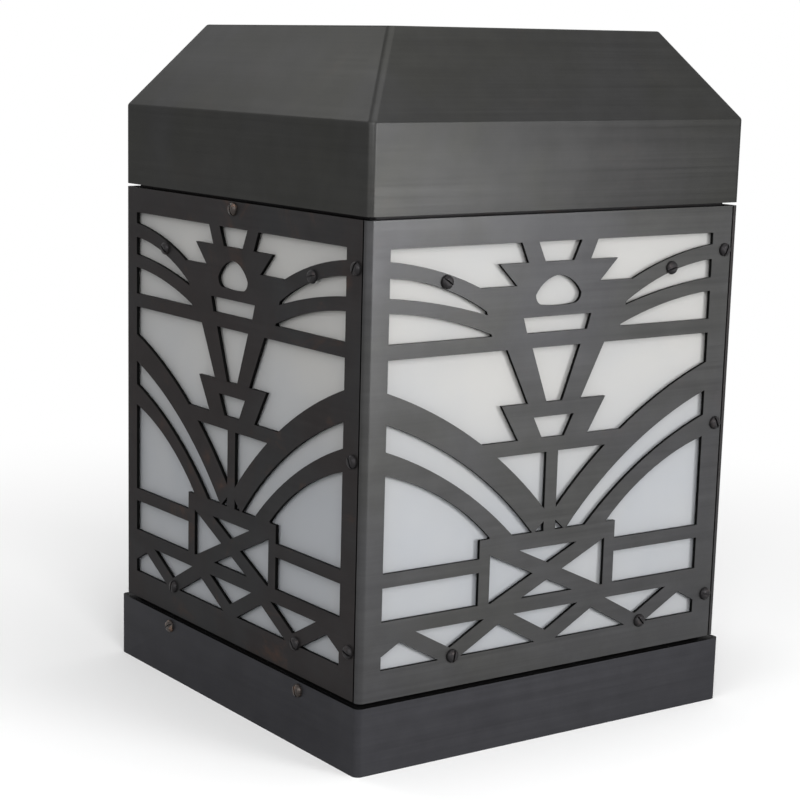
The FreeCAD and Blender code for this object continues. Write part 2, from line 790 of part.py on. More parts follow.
def lamp_holder():
    """The glazed lampholder: a solid foot and a deep round well for the screw shell."""
    well = shell_bore_r + shell_thick + shell_fit
    inward, down = holder_taper
    top = bracket_top + holder_high
    body = revolve([
        (0, bracket_top), (holder_r, bracket_top), (holder_r, top - down), (holder_r - inward, top),
        (well, top), (well, holder_floor_z), (0, holder_floor_z),
    ])
    up = Vector(0, 0, holder_screw_long + holder_screw_room)
    holes = [rod(screw_r + hole_clear / 2, point, point + up) for point in holder_screw_points()]
    for way in (-1, 0):
        start = holder_entry(way)
        holes.append(rod(lead_r + lead_clear, start, start + Vector(0, holder_r, 0)))
    holes.append(rod(stem_r + stem_fit, Vector(0, 0, holder_floor_z - stem_long), Vector(0, 0, top)))
    return body.cut(holes)


def screw_shell():
    """The thin cup that takes the bulb's cap, open in its floor for the centre contact."""
    outer = shell_bore_r + shell_thick
    floor = holder_floor_z + shell_thick
    top = bracket_top + holder_high - shell_drop
    open_r = contact_r + shell_open
    return revolve([
        (open_r, holder_floor_z), (outer, holder_floor_z), (outer, top),
        (shell_bore_r, top), (shell_bore_r, floor), (open_r, floor),
    ])


def centre_contact():
    """A raised button with its stem in the lampholder's floor."""
    floor = holder_floor_z
    foot = floor - stem_long
    edge = contact_z - contact_edge
    return revolve([
        (0, foot), (stem_r, foot), (stem_r, floor), (contact_r, floor),
        (contact_r, edge), (contact_r - contact_edge, contact_z), (0, contact_z),
    ])


def bulb_contact():
    low, high = contact_z, contact_z + tip_high
    return revolve([(0, low), (tip_r, low), (contact_r, low + tip_edge), (contact_r, high), (0, high)])


def bulb_insulator():
    """The black cone between the tip and the cap."""
    low = contact_z + tip_high
    high = contact_z + cap_low + insulator_high
    return revolve([(0, low), (insulator_r[0], low), (insulator_r[1], high), (0, high)])


def bulb_cap():
    """The screw cap of the bulb: a thin drawn shell, closed over the insulator."""
    low = contact_z + cap_low + insulator_high
    high = contact_z + cap_low + cap_long
    inner_r = cap_r - cap_wall
    # The wall is square to the cone: half an angle's tangent moves each inner corner
    cone = math.atan2(cap_cone, cap_r - cap_floor_r)
    floor_r = cap_floor_r - cap_wall * math.tan(cone / 2)
    bend = low + cap_cone + cap_wall * math.tan((math.pi / 2 - cone) / 2)
    return revolve([
        (0, low), (cap_floor_r, low), (cap_r, low + cap_cone), (cap_r, high), (inner_r, high),
        (inner_r, bend), (floor_r, low + cap_wall), (0, low + cap_wall),
    ])


def housing_low():
    return contact_z + cap_low + cap_long


def bulb_housing():
    """The flared neck that carries the light board."""
    low = housing_low()
    high, neck = low + housing_high, low + neck_high
    return revolve([
        (cap_r - housing_wall, low), (neck_r, low), (neck_r + neck_flare, neck), (bulb_mouth_r, high),
        (bulb_mouth_r - housing_wall, high), (neck_r - housing_wall, neck),
        (cap_r - housing_wall, low + housing_wall),
    ])


def light_board():
    """The disc that the light sources sit on, just inside the mouth of the housing."""
    top = housing_low() + housing_high
    # The housing's inside narrows downwards, so the disc fits at its lower face
    narrowing = (bulb_mouth_r - neck_r) / (housing_high - neck_high)
    r = bulb_mouth_r - housing_wall - narrowing * (board_thick + board_clear) - board_clear
    return rod(r, Vector(0, 0, top - board_thick), Vector(0, 0, top))


def bulb_globe():
    """The opal dome: a thin shell that swells from its mouth and closes in a half round."""
    low = housing_low() + housing_high
    middle = contact_z + bulb_long - bulb_r
    outer = dome_arcs(bulb_mouth_r, bulb_r, low, middle)
    inner = dome_arcs(bulb_mouth_r - globe_wall, bulb_r - globe_wall, low, middle)
    crowns = [Vector(0, 0, arcs[1].lastVertex().Point.z) for arcs in (outer, inner)]
    edges = outer + inner + [
        Part.makeLine(Vector(bulb_mouth_r - globe_wall, 0, low), Vector(bulb_mouth_r, 0, low)),
        Part.makeLine(outer[1].lastVertex().Point, crowns[0]),
        Part.makeLine(crowns[0], crowns[1]),
        Part.makeLine(crowns[1], inner[1].lastVertex().Point),
    ]
    outline = Part.Face(Part.Wire(Part.__sortEdges__(edges)))
    return outline.revolve(Vector(0, 0, 0), Vector(0, 0, 1), 360)


def dome_arcs(mouth_r, widest_r, low, middle):
    """Two arcs: from the mouth out to the widest, and from there to a small flat crown."""
    swell = Vector(mouth_r + swell_out * (widest_r - mouth_r), 0, low + swell_up * (middle - low))
    half_way = widest_r * math.sin(math.pi / 4)
    wide = Vector(widest_r, 0, middle)
    crown = Vector(crown_flat_r, 0, middle + math.sqrt(widest_r ** 2 - crown_flat_r ** 2))
    return [
        Part.Arc(Vector(mouth_r, 0, low), swell, wide).toShape(),
        Part.Arc(wide, Vector(half_way, 0, middle + half_way), crown).toShape(),
    ]


def block_screw_points():
    """Fixing screws of the block, in its two end ears."""
    x = block_long / 2 + ear_half
    return [Vector(s * x, block_away + block_deep / 2, base_height + ear_high) for s in (-1, 1)]


def terminal_block():
    """A three-way block with wire holes through it, clamp wells from above and end ears."""
    half = block_long / 2
    far = block_away + block_deep
    body = box(-half, half, block_away, far, base_height, base_height + block_high)
    middle = block_away + block_deep / 2
    reach = half + ear_long
    ears = box(-reach, reach, middle - ear_half, middle + ear_half, base_height, base_height + ear_high)
    down, up = Vector(0, 0, ear_high + past), Vector(0, 0, past)
    holes = [rod(screw_r + hole_clear, p - down, p + up) for p in block_screw_points()]
    for way in (-1, 0, 1):
        seat = block_entry(way)
        supply = Vector(seat.x, far - supply_way_deep, seat.z)
        holes.append(rod(lead_r + lead_clear, seat - Vector(0, lead_seat + past, 0), seat))
        holes.append(rod(supply_way_r, supply, supply + Vector(0, supply_way_deep + past, 0)))
    for point in clamp_points():
        holes.append(rod(clamp_r + hole_clear, point, point + Vector(0, 0, block_high)))
    return body.fuse(ears).removeSplitter().cut(holes)


def clamp_points():
    """Feet of the six clamp screws, just above the wires."""
    z = base_height + way_rise + lead_r + clamp_over
    rows = (block_away + clamp_set, block_away + block_deep - clamp_set)
    return [Vector(way_x(way), y, z) for way in (-1, 0, 1) for y in rows]


def clamp_screws():
    """Headless slotted clamp screws, sunk in the block."""
    pieces = []
    for point in clamp_points():
        body = rod(clamp_r, point, point + Vector(0, 0, clamp_long))
        slot = box(-clamp_r, clamp_r, -clamp_slot[0] / 2, clamp_slot[0] / 2, 0, clamp_slot[1] + past)
        slot.translate(point + Vector(0, 0, clamp_long - clamp_slot[1]))
        pieces.append(body.cut(slot))
    return pieces


def block_screws():
    return inside_screws(ear_high + sheet + thread_past, block_screw_points(), Vector(0, 0, -1))


def lead(points):
    """A wire along straight runs joined by tangent arcs, each as large as its runs allow."""
    edges = []
    here = points[0]
    for before, corner, after in zip(points, points[1:], points[2:]):
        back, ahead = before.sub(corner), after.sub(corner)
        turn = math.pi - back.getAngle(ahead)
        cut = bend_share * min(back.Length, ahead.Length)
        radius = cut / math.tan(turn / 2)
        print("lead bend radius %.1f mm" % radius)
        back.normalize()
        ahead.normalize()
        enter, leave = corner + back * cut, corner + ahead * cut
        inward = (back + ahead).normalize()
        middle = corner + inward * (radius / math.cos(turn / 2) - radius)
        edges.append(Part.makeLine(here, enter))
        edges.append(Part.Arc(enter, middle, leave).toShape())
        here = leave
    edges.append(Part.makeLine(here, points[-1]))
    path = Part.Wire(edges)
    start = points[1].sub(points[0])
    section = Part.Wire(Part.makeCircle(lead_r, points[0], start))
    return path.makePipeShell([section], True, False)


def block_entry(way):
    return Vector(way_x(way), block_away + lead_seat, base_height + way_rise)


def supply_lead(way):
    """From the lampholder's back, down and into the block."""
    start, end = holder_entry(way), block_entry(way)
    over = start + Vector(0, holder_run, 0)
    under = end - Vector(0, block_run, 0)
    return lead([start, over, under, end])


def earth_point():
    return Vector(*earth_away, base_height + terminal_thick)


def earth_terminal():
    """A ring under the earth screw, with a barrel that holds the lead's end."""
    centre = Vector(*earth_away, base_height)
    up = Vector(0, 0, terminal_thick)
    ring = tube(terminal_r, screw_r + hole_clear, centre, centre + up)
    near, far, wide = tongue
    neck = box(centre.x - far, centre.x - near, centre.y - wide, centre.y + wide, centre.z, centre.z + up.z)
    start = centre + Vector(-barrel_set, 0, lead_r + terminal_thick)
    barrel = tube(lead_r + terminal_thick, lead_r + lead_clear, start, start - Vector(barrel_long, 0, 0))
    return ring.fuse([neck, barrel]).removeSplitter()


def earth_lead():
    """From the block's third way down and round into the ring terminal's barrel."""
    start = block_entry(1)
    end = earth_point() + Vector(-tongue[1], 0, lead_r)
    route = [start + Vector(*step) for step in earth_route]
    return lead([start] + route + [end - Vector(earth_run, 0, 0), end])


def earth_screw():
    return screw(terminal_thick + sheet + thread_past, earth_point(), Vector(0, 0, -1), inside_turn)


def wire_grommet():
    """A rubber bush in the pan's wire hole, with a lip above and below the sheet."""
    low, high = base_height - sheet, base_height
    waist, lip = wire_hole_r - grommet_fit, wire_hole_r + grommet_out
    return revolve([
        (grommet_bore_r, low - grommet_lip), (lip, low - grommet_lip), (lip, low), (waist, low),
        (waist, high), (lip, high), (lip, high + grommet_lip), (grommet_bore_r, high + grommet_lip),
    ])


os.makedirs("parts", exist_ok=True)

write("base_skirt", base_skirt())
write("post_plate", post_plate())
write("floor_pan", floor_pan())
write("base_screws", base_screws())
write("bottom_ring", bottom_ring())
write("top_ring", top_ring())

sides = ["front", "left", "back", "right"]
for quarter, side in enumerate(sides):
    write(side + "_panel", side_panel(quarter))
    write(side + "_lens", lens(quarter))
    write("corner_angle_" + side + "_" + sides[(quarter + 1) % 4], corner_angle(quarter))

lens_screws, lens_spacers, lens_washers, lens_nuts = lens_hardware()
write("lens_screws", lens_screws)
write("lens_spacers", lens_spacers)
write("lens_washers", lens_washers)
write("lens_nuts", lens_nuts)
write("corner_screws", corner_screws())
foot_screws, foot_nuts, top_ring_screws = tab_screws()
write("foot_screws", foot_screws)
write("foot_nuts", foot_nuts)
write("top_ring_screws", top_ring_screws)

write("lid_shell", lid_shell())
write("lid_collar", lid_collar())
lid_screws, lid_spacers, lid_nuts = lid_hardware()
write("lid_screws", lid_screws)
write("lid_spacers", lid_spacers)
write("lid_nuts", lid_nuts)

write("lamp_bracket", lamp_bracket())
write("bracket_screws", bracket_screws())
write("lamp_holder", lamp_holder())
write("holder_screws", holder_screws())
write("screw_shell", screw_shell())
write("centre_contact", centre_contact())
write("bulb_contact", bulb_contact())
write("bulb_insulator", bulb_insulator())
write("bulb_cap", bulb_cap())
write("bulb_housing", bulb_housing())
write("light_board", light_board())
write("bulb_globe", bulb_globe())
write("wire_grommet", wire_grommet())
write("terminal_block", terminal_block())
write("clamp_screws", clamp_screws())
write("block_screws", block_screws())
write("live_lead", supply_lead(-1))
write("neutral_lead", supply_lead(0))
write("earth_lead", earth_lead())
write("earth_terminal", earth_terminal())
write("earth_screw", earth_screw())
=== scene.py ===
# A square lantern that caps a timber deck post: four fretted sheet panels with opal sheets
# behind them, a plain skirt below and a hipped lid above, all in a dark brushed patina.
import bmesh
import bpy
import json
import math
import numpy as np
from mathutils import Matrix, Vector

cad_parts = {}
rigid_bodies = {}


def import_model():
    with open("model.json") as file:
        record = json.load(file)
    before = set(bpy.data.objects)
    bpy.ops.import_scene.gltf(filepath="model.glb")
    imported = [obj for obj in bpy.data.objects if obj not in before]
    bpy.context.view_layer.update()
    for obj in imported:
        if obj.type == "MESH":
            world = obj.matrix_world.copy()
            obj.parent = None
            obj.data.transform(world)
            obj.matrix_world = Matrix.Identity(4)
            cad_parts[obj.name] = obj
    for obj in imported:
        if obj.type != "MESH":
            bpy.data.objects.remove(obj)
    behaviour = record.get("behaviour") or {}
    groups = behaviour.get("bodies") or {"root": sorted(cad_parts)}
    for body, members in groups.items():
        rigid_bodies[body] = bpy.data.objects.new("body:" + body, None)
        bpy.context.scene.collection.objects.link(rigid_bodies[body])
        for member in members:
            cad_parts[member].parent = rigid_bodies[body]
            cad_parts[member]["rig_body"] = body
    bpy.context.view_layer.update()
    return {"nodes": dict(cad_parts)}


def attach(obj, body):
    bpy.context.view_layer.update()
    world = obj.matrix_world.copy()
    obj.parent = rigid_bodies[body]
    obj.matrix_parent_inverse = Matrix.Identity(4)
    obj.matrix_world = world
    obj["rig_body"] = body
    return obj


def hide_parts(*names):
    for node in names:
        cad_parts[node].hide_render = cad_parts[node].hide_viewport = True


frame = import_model()
cadNodes = frame["nodes"]
print("frame loaded:", len(cadNodes), "nodes")


def newMaterial(name):
    material = bpy.data.materials.new(name)
    material.use_nodes = True
    tree = material.node_tree
    shader = tree.nodes["Principled BSDF"]
    shader.location = (900, 0)
    tree.nodes["Material Output"].location = (1200, 0)
    return material, tree, shader


def addNode(tree, kind, x, y, **fields):
    node = tree.nodes.new(kind)
    node.location = (x, y)
    for key, value in fields.items():
        setattr(node, key, value)
    return node


def link(tree, source, target):
    tree.links.new(source, target)


def objectSpace(tree, x, y, scale, turn=(0, 0, 0), shift=(0, 0, 0)):
    coords = addNode(tree, "ShaderNodeTexCoord", x - 200, y)
    mapping = addNode(tree, "ShaderNodeMapping", x, y)
    mapping.inputs["Scale"].default_value = scale
    mapping.inputs["Rotation"].default_value = turn
    mapping.inputs["Location"].default_value = shift
    link(tree, coords.outputs["Object"], mapping.inputs["Vector"])
    return mapping.outputs["Vector"]


def noiseAt(tree, vector, x, y, scale, detail=3.0, rough=0.55, warp=0.0):
    noise = addNode(tree, "ShaderNodeTexNoise", x, y)
    noise.inputs["Scale"].default_value = scale
    noise.inputs["Detail"].default_value = detail
    noise.inputs["Roughness"].default_value = rough
    noise.inputs["Distortion"].default_value = warp
    link(tree, vector, noise.inputs["Vector"])
    return noise.outputs["Fac"]


def remap(tree, value, x, y, low, high, toLow=0.0, toHigh=1.0, smooth=True):
    box = addNode(tree, "ShaderNodeMapRange", x, y)
    box.interpolation_type = "SMOOTHSTEP" if smooth else "LINEAR"
    box.inputs["From Min"].default_value = low
    box.inputs["From Max"].default_value = high
    box.inputs["To Min"].default_value = toLow
    box.inputs["To Max"].default_value = toHigh
    link(tree, value, box.inputs["Value"])
    return box.outputs["Result"]


def blendColour(tree, factor, first, second, x, y, mode="MIX"):
    mix = addNode(tree, "ShaderNodeMix", x, y, data_type="RGBA", blend_type=mode)
    # inputs 6 and 7 and output 2 are its colours
    for socket, value in ((0, factor), (6, first), (7, second)):
        if hasattr(value, "is_linked"):
            link(tree, value, mix.inputs[socket])
        elif socket:
            mix.inputs[socket].default_value = (*value, 1.0)
        else:
            mix.inputs[socket].default_value = value
    return mix.outputs[2]


def maths(tree, operation, first, second, x, y):
    node = addNode(tree, "ShaderNodeMath", x, y, operation=operation)
    for socket, value in enumerate((first, second)):
        if hasattr(value, "is_linked"):
            link(tree, value, node.inputs[socket])
        else:
            node.inputs[socket].default_value = value
    return node.outputs[0]


# the levels are those of a noise between which it takes effect, from none to full
patinaSet = {
    "grainAcross": 5.0,         # brushed lines: slow along the sheet, quick across it, per metre
    "grainUp": 700.0,
    "lineLevels": (0.25, 0.75),
    "lineShade": (0.88, 1.12),  # how far the fine lines darken and lighten the tone
    "wideShare": 0.18,          # scale of the wide lines, against the fine ones
    "wideLevels": (0.3, 0.7),
    "wideShade": (0.95, 1.05),
    "mottleScale": 70.0,
    "mottleLevels": (0.3, 0.7),
    "mottleShade": (0.94, 1.06),
    "cloudScale": 11.0,
    "cloudLevels": (0.35, 0.65),
    "copper": (0.105, 0.055, 0.034),
    "patchScale": 24.0,
    "patchLevels": (0.56, 0.74),
    "streaks": (0.3, 1.3),      # share of the copper in the wide lines, least and most
    "levelAbove": 0.9,          # faces whose normal has more than this of Z are brushed along X
    "metal": 0.65,
    "roughLevels": (0.2, 0.8),
    "rough": (0.30, 0.46),
    "rimSpecular": 0.4,         # specular level for a rim of 1
    "eaveHeight": 0.2576,       # where the lid's skirt turns into its roof, in metres
    "eaveBlend": 0.001,         # half the height over which the rim changes there
    "grainDepth": 0.000016,
    "grainBump": 0.5,
    "waveDepth": 0.0004,        # slow unevenness of the sheet
    "waveBump": 0.25,
}

# tone: the sheet's colour, darkened as painted shade on the left panel, the inside pieces and the cut
# edges; tint: what it drifts to in clouds;
# copper: how much shows through; rim: how much it shines at a glancing angle; roofRim: the same above
# the eaves
patinaKinds = {
    "patinaFront": {"tone": (0.050, 0.050, 0.052), "tint": (0.047, 0.047, 0.046),
        "copper": 0.03, "rim": 0.36, "seed": 3.0},
    # the left panel's much darker tone is painted shade for the side away from the light; its copper is
    # the real patina
    "patinaLeftPaintedShade": {"tone": (0.030, 0.030, 0.031), "tint": (0.028, 0.025, 0.025),
        "copper": 0.34, "rim": 0.36, "seed": 8.5},
    "patinaBack": {"tone": (0.044, 0.044, 0.045), "tint": (0.041, 0.039, 0.039),
        "copper": 0.14, "rim": 0.36, "seed": 14.1},
    "patinaRight": {"tone": (0.042, 0.042, 0.043), "tint": (0.039, 0.036, 0.036),
        "copper": 0.20, "rim": 0.36, "seed": 21.7},
    "patinaLid": {"tone": (0.034, 0.034, 0.034), "tint": (0.032, 0.032, 0.030),
        "copper": 0.02, "rim": 0.36, "roofRim": 0.45, "seed": 30.2},
    "patinaBase": {"tone": (0.036, 0.036, 0.040), "tint": (0.034, 0.034, 0.038),
        "copper": 0.03, "rim": 0.42, "seed": 41.9},
    # near black: painted shade for the inside pieces, which stand in the shadowed gaps between the
    # parts
    "patinaInsidePaintedShade": {"tone": (0.014, 0.014, 0.015), "tint": (0.012, 0.011, 0.011),
        "copper": 0.08, "rim": 0.36, "seed": 52.3},
    # near black: painted shade for the cut edges and the skirt's top rim, where the gaps lie in shadow
    "patinaEdgePaintedShade": {"tone": (0.007, 0.007, 0.007), "tint": (0.005, 0.005, 0.005),
        "copper": 0.02, "rim": 0.36, "seed": 63.4},
}


# Dark oxidised sheet: cloudy tone, long brushed lines, coppery patches and fine scuffs.
def patina(name, kind):
    material, tree, shader = newMaterial(name)
    seed = kind["seed"]
    level = objectSpace(tree, -1400, 300, (1, 1, 1), shift=(seed, -seed, 0.5 * seed))
    grain = objectSpace(
        tree, -1400, -200,
        (patinaSet["grainAcross"], patinaSet["grainAcross"], patinaSet["grainUp"]),
        shift=(seed, seed, seed),
    )
    clouds = noiseAt(tree, level, -1000, 500, patinaSet["cloudScale"], detail=4.0, rough=0.6, warp=0.4)
    mottle = noiseAt(tree, level, -1000, 300, patinaSet["mottleScale"], detail=5.0, rough=0.65)
    patches = noiseAt(tree, level, -1000, 100, patinaSet["patchScale"], detail=5.0, rough=0.7, warp=1.2)
    # on level faces the brushed lines run along X, with the quick way along Y
    levelGrain = objectSpace(
        tree, -1400, -600,
        (patinaSet["grainAcross"], patinaSet["grainUp"], patinaSet["grainAcross"]),
        shift=(seed, seed, seed),
    )
    facing = addNode(tree, "ShaderNodeTexCoord", -1400, -900)
    split = addNode(tree, "ShaderNodeSeparateXYZ", -1200, -900)
    link(tree, facing.outputs["Normal"], split.inputs[0])
    isLevel = maths(tree, "GREATER_THAN", split.outputs[2], patinaSet["levelAbove"], -1000, -900)
    swap = addNode(tree, "ShaderNodeMix", -1200, -400, data_type="VECTOR")
    link(tree, isLevel, swap.inputs[0])     # inputs 4 and 5 and output 1 are its vectors
    link(tree, grain, swap.inputs[4])
    link(tree, levelGrain, swap.inputs[5])
    grain = swap.outputs[1]
    lines = noiseAt(tree, grain, -1000, -200, 1.0, detail=6.0, rough=0.75)
    wideLines = noiseAt(tree, grain, -1000, -400, patinaSet["wideShare"], detail=3.0, rough=0.6)

    cloudy = remap(tree, clouds, -700, 500, *patinaSet["cloudLevels"])
    tone = blendColour(tree, cloudy, kind["tone"], kind["tint"], -400, 500)
    copperAt = remap(tree, patches, -700, 100, *patinaSet["patchLevels"], 0.0, kind["copper"])
    streaks = remap(tree, wideLines, -700, -100, *patinaSet["wideLevels"], *patinaSet["streaks"])
    streaky = maths(tree, "MULTIPLY", copperAt, streaks, -500, 60)
    worn = blendColour(tree, streaky, tone, patinaSet["copper"], -200, 400)
    lineLevels, lineShade = patinaSet["lineLevels"], patinaSet["lineShade"]
    fineShade = remap(tree, lines, -700, -250, *lineLevels, *lineShade, smooth=False)
    wideShade = remap(tree, wideLines, -700, -450, *patinaSet["wideLevels"], *patinaSet["wideShade"])
    speckle = remap(tree, mottle, -700, 300, *patinaSet["mottleLevels"], *patinaSet["mottleShade"])
    bothShades = maths(tree, "MULTIPLY", fineShade, wideShade, -450, -250)
    allShades = maths(tree, "MULTIPLY", bothShades, speckle, -250, -200)
    grey = addNode(tree, "ShaderNodeCombineColor", -50, -200)
    for channel in range(3):
        link(tree, allShades, grey.inputs[channel])
    final = blendColour(tree, 1.0, worn, grey.outputs[0], 200, 300, "MULTIPLY")
    link(tree, final, shader.inputs["Base Color"])

    rough = remap(tree, lines, 200, 0, *patinaSet["roughLevels"], *patinaSet["rough"], smooth=False)
    link(tree, rough, shader.inputs["Roughness"])
    shader.inputs["Metallic"].default_value = patinaSet["metal"]
    rim = kind["rim"]
    shader.inputs["Specular IOR Level"].default_value = patinaSet["rimSpecular"] * rim
    shader.inputs["Specular Tint"].default_value = (rim, rim, rim, 1.0)
    if "roofRim" in kind:
        place = objectSpace(tree, 300, -700, (1, 1, 1))
        parts = addNode(tree, "ShaderNodeSeparateXYZ", 450, -700)
        link(tree, place, parts.inputs[0])
        below = patinaSet["eaveHeight"] - patinaSet["eaveBlend"]
        above = patinaSet["eaveHeight"] + patinaSet["eaveBlend"]
        shine = remap(tree, parts.outputs[2], 600, -700, below, above, rim, kind["roofRim"])
        link(tree, shine, shader.inputs["Specular Tint"])

    bump = addNode(tree, "ShaderNodeBump", 600, -300)
    bump.inputs["Strength"].default_value = patinaSet["grainBump"]
    bump.inputs["Distance"].default_value = patinaSet["grainDepth"]
    link(tree, lines, bump.inputs["Height"])
    wave = addNode(tree, "ShaderNodeBump", 400, -450)
    wave.inputs["Strength"].default_value = patinaSet["waveBump"]
    wave.inputs["Distance"].default_value = patinaSet["waveDepth"]
    link(tree, clouds, wave.inputs["Height"])
    link(tree, wave.outputs["Normal"], bump.inputs["Normal"])
    link(tree, bump.outputs["Normal"], shader.inputs["Normal"])
    return material


patinas = {name: patina(name, kind) for name, kind in patinaKinds.items()}
print("patinas made")

opalSet = {
    "warm": (0.665, 0.660, 0.646),
    "coolAndShaded": (0.560, 0.577, 0.602),
    "coolBelow": 0.075,         # metres above the lamp's foot where the cooler, darker tone is full; the darkening is painted shade
    "warmAbove": 0.190,
    "driftScale": 14.0,         # slow drift between the two tones, and how far it goes
    "driftLevels": (0.3, 0.7),
    "drift": 0.25,
    "grainScale": 2600.0,
    "grainDepth": 0.00002,
    "grainBump": 0.35,
    "rough": 0.42,
    "specular": 0.4,
    "through": 0.45,            # share of light that passes into the sheet
}


# Frosted opal acrylic: a soft grey white, a little cooler low down and darker there as painted shade,
# with a fine grain.
def opalSheet():
    material, tree, shader = newMaterial("opalAcrylic")
    level = objectSpace(tree, -1200, 200, (1, 1, 1))
    split = addNode(tree, "ShaderNodeSeparateXYZ", -900, 300)
    link(tree, level, split.inputs[0])
    drift = noiseAt(tree, level, -900, 0, opalSet["driftScale"], detail=3.0, rough=0.5, warp=0.3)
    grain = noiseAt(tree, level, -900, -250, opalSet["grainScale"], detail=2.0, rough=0.6)
    high = remap(tree, split.outputs[2], -650, 300, opalSet["coolBelow"], opalSet["warmAbove"])
    most = opalSet["drift"]
    drifted = remap(tree, drift, -650, 50, *opalSet["driftLevels"], -most, most)
    high = maths(tree, "ADD", high, drifted, -450, 250)
    base = blendColour(tree, high, opalSet["coolAndShaded"], opalSet["warm"], -200, 300)
    link(tree, base, shader.inputs["Base Color"])
    shader.inputs["Roughness"].default_value = opalSet["rough"]
    shader.inputs["Specular IOR Level"].default_value = opalSet["specular"]
    bump = addNode(tree, "ShaderNodeBump", 500, -250)
    bump.inputs["Strength"].default_value = opalSet["grainBump"]
    bump.inputs["Distance"].default_value = opalSet["grainDepth"]
    link(tree, grain, bump.inputs["Height"])
    link(tree, bump.outputs["Normal"], shader.inputs["Normal"])
    glow = addNode(tree, "ShaderNodeBsdfTranslucent", 900, -300)
    link(tree, base, glow.inputs["Color"])
    mix = addNode(tree, "ShaderNodeMixShader", 1100, -100)
    mix.inputs["Fac"].default_value = opalSet["through"]
    link(tree, shader.outputs[0], mix.inputs[1])
    link(tree, glow.outputs[0], mix.inputs[2])
    link(tree, mix.outputs[0], tree.nodes["Material Output"].inputs["Surface"])
    return material


finishSet = {
    "fineTimes": 5,             # scale of the fine noise, against the mottling
    "fineLevels": (0.3, 0.7),
    "bump": 0.4,
    "specular": 0.5,            # where a finish has no shine of its own
}
# two colours; how metallic; lowest and highest roughness; scale of the mottling; levels of its
# noise between which the second colour comes in; depth of the fine bump; shine is the specular level
finishKinds = {
    "darkBronze": {"first": (0.022, 0.021, 0.022), "second": (0.040, 0.034, 0.034), "metal": 0.70,
                   "rough": (0.40, 0.56), "scale": 420.0, "edge": (0.52, 0.72), "bump": 0.00004,
                   "shine": 0.1},
    "wornBronze": {"first": (0.036, 0.030, 0.027), "second": (0.170, 0.110, 0.082), "metal": 0.75,
                   "rough": (0.30, 0.46), "scale": 380.0, "edge": (0.50, 0.68), "bump": 0.00004},
    "zincPlate": {"first": (0.560, 0.560, 0.550), "second": (0.400, 0.410, 0.430), "metal": 1.0,
                  "rough": (0.28, 0.45), "scale": 260.0, "edge": (0.40, 0.65), "bump": 0.00002},
    "glazedPorcelain": {"first": (0.800, 0.790, 0.750), "second": (0.700, 0.690, 0.650), "metal": 0.0,
                        "rough": (0.10, 0.22), "scale": 60.0, "edge": (0.45, 0.80), "bump": 0.00005},
    "brightBrass": {"first": (0.780, 0.560, 0.250), "second": (0.560, 0.380, 0.160), "metal": 1.0,
                    "rough": (0.22, 0.38), "scale": 240.0, "edge": (0.45, 0.70), "bump": 0.00002},
    "nickelCap": {"first": (0.680, 0.660, 0.620), "second": (0.520, 0.500, 0.470), "metal": 1.0,
                  "rough": (0.20, 0.34), "scale": 200.0, "edge": (0.45, 0.70), "bump": 0.00001},
    "blackGlass": {"first": (0.012, 0.012, 0.014), "second": (0.030, 0.030, 0.034), "metal": 0.0,
                   "rough": (0.12, 0.25), "scale": 180.0, "edge": (0.45, 0.75), "bump": 0.00001},
    "lampPlastic": {"first": (0.740, 0.740, 0.725), "second": (0.660, 0.660, 0.640), "metal": 0.0,
                    "rough": (0.38, 0.52), "scale": 900.0, "edge": (0.35, 0.70), "bump": 0.00002},
    "boardWhite": {"first": (0.780, 0.780, 0.760), "second": (0.560, 0.600, 0.560), "metal": 0.0,
                   "rough": (0.35, 0.50), "scale": 150.0, "edge": (0.55, 0.62), "bump": 0.00001},
    "grommetRubber": {"first": (0.022, 0.022, 0.022), "second": (0.040, 0.038, 0.036), "metal": 0.0,
                      "rough": (0.62, 0.82), "scale": 700.0, "edge": (0.40, 0.70), "bump": 0.00004},
    "blockPlastic": {"first": (0.640, 0.620, 0.560), "second": (0.560, 0.540, 0.480), "metal": 0.0,
                     "rough": (0.36, 0.52), "scale": 500.0, "edge": (0.40, 0.70), "bump": 0.00002},
    "leadBlack": {"first": (0.020, 0.020, 0.021), "second": (0.038, 0.038, 0.040), "metal": 0.0,
                  "rough": (0.40, 0.58), "scale": 600.0, "edge": (0.40, 0.70), "bump": 0.00002},
    "leadWhite": {"first": (0.760, 0.750, 0.720), "second": (0.660, 0.650, 0.610), "metal": 0.0,
                  "rough": (0.40, 0.58), "scale": 600.0, "edge": (0.40, 0.70), "bump": 0.00002},
    "leadGreen": {"first": (0.030, 0.180, 0.050), "second": (0.022, 0.120, 0.036), "metal": 0.0,
                  "rough": (0.40, 0.58), "scale": 600.0, "edge": (0.40, 0.70), "bump": 0.00002},
}


